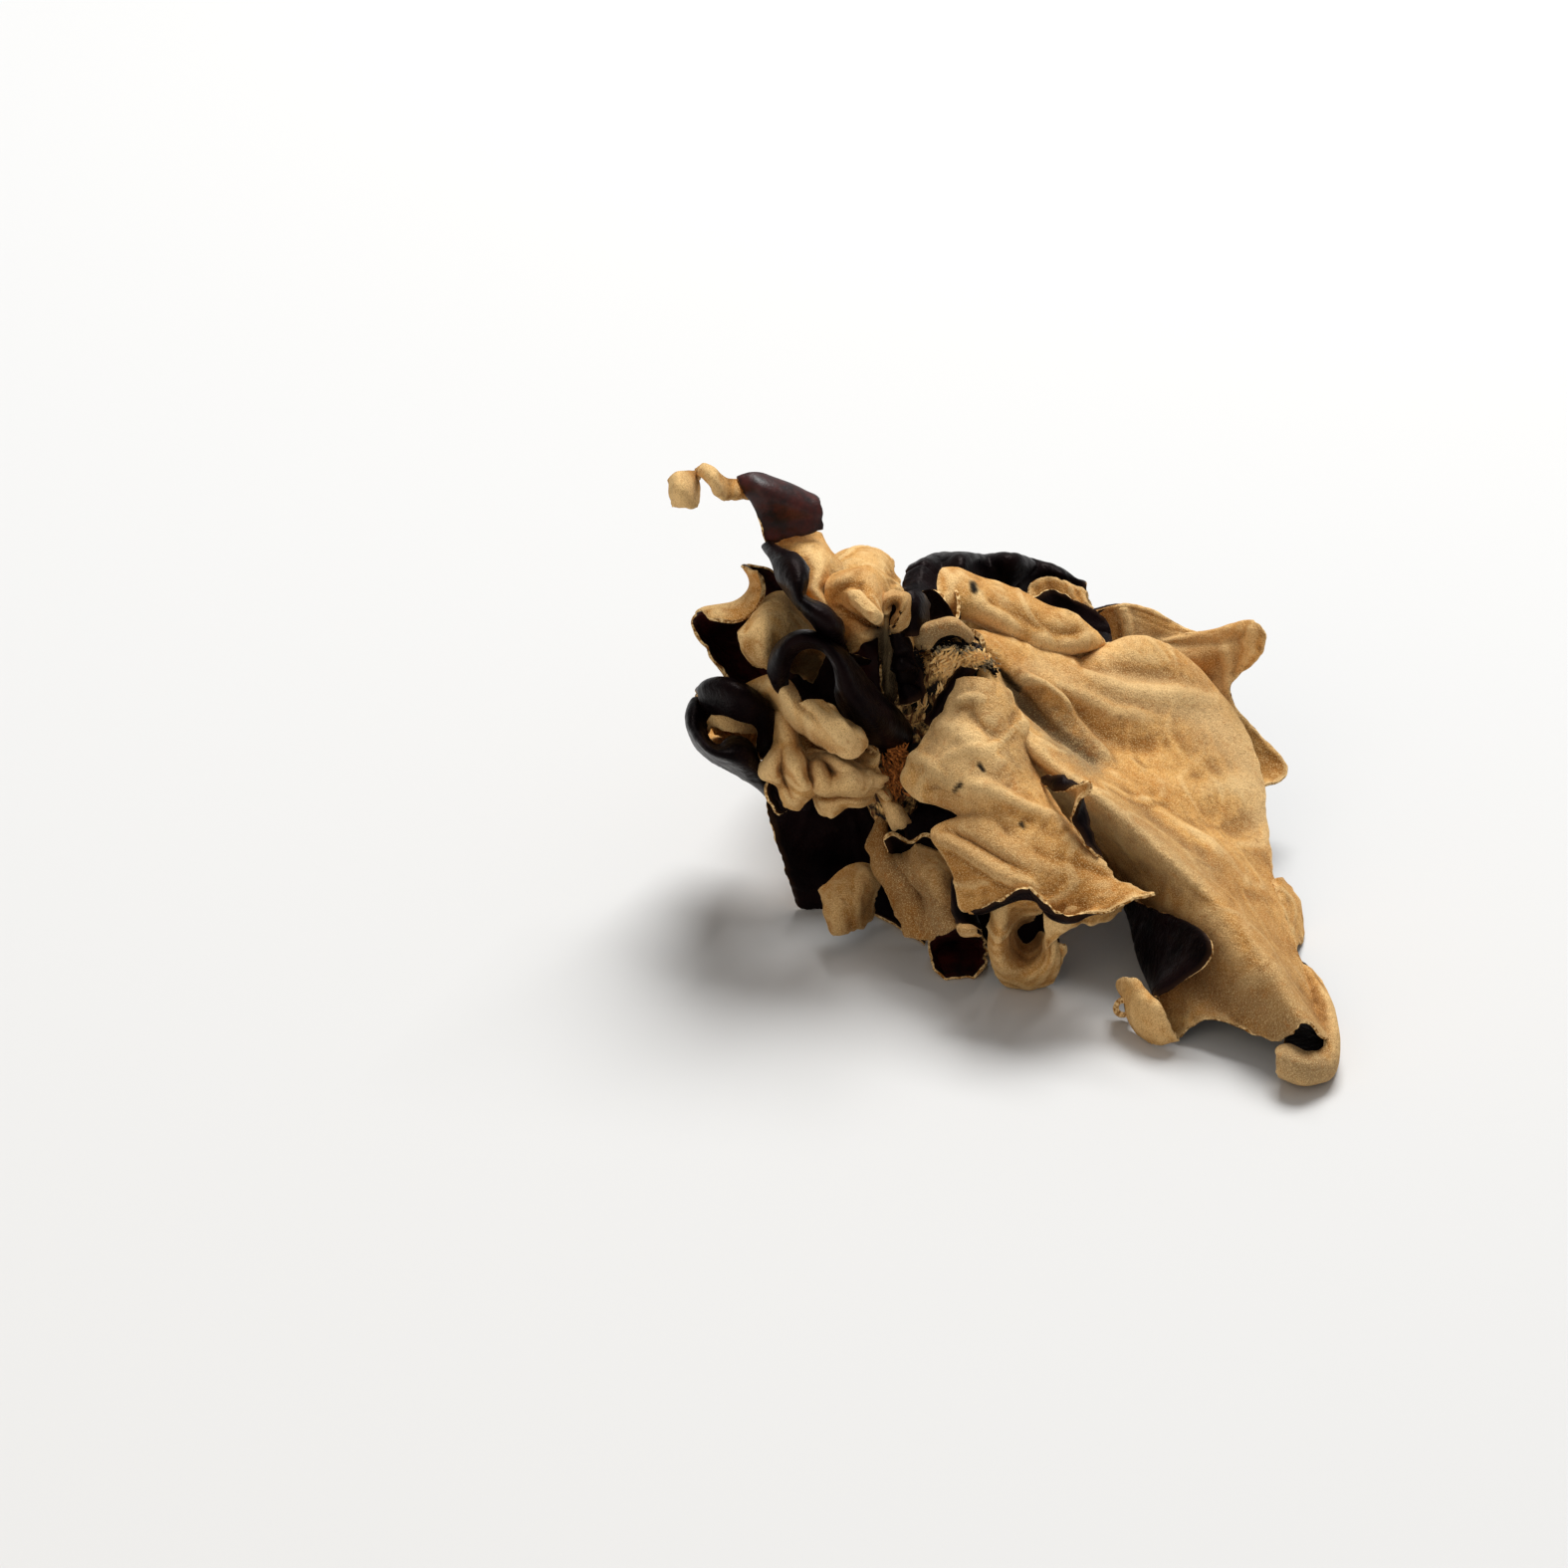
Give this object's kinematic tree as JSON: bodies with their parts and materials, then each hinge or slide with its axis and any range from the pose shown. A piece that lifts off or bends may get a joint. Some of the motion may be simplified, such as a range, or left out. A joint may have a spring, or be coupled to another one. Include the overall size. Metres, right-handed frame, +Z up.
{
  "type": "dried wood ear mushroom",
  "caption": "Dried wood ear mushroom clump: thin curled ears, velvety tan on one side and smooth black on the other, grown round a torn woody base, lying on its rims.",
  "frame": {"origin": "middle of the clump's footprint, on the surface that it lies on", "axes": "+Z up, +X to the right and +Y away from the viewer, as the picture shows the clump, with its long ear's tip at the front right"},
  "size_m": [0.1448, 0.1783, 0.1082],
  "materials": {
    "ear_sheet": "velvety tan with a smooth purple-black underside",
    "dark_ear_sheet": "smooth, slightly glossy purple-black side showing, velvety tan on its back",
    "woody_base": "torn, fibrous, with straw-coloured chips and black crust"
  },
  "bodies": {
    "root": {"base": "woody_base", "main_ear": "ear_sheet", "front_ear": "ear_sheet", "right_ear": "ear_sheet", "upper_ear": "ear_sheet", "back_ear": "dark_ear_sheet", "hood_ear": "dark_ear_sheet", "tall_ear": "dark_ear_sheet", "ruffle_ear": "ear_sheet", "lower_left_ear": "ear_sheet", "pitcher_ear": "ear_sheet", "mid_ear": "ear_sheet", "back_left_ear": "ear_sheet", "left_ear": "dark_ear_sheet", "patch_ear": "ear_sheet", "round_ear": "dark_ear_sheet", "blade_ear": "dark_ear_sheet", "low_ear": "ear_sheet", "under_ear": "dark_ear_sheet", "inner_ear": "dark_ear_sheet", "tucked_ear": "dark_ear_sheet", "collar_hood": "ear_sheet", "collar_cup": "ear_sheet", "collar_loop": "dark_ear_sheet"}
  },
  "joints": []
}
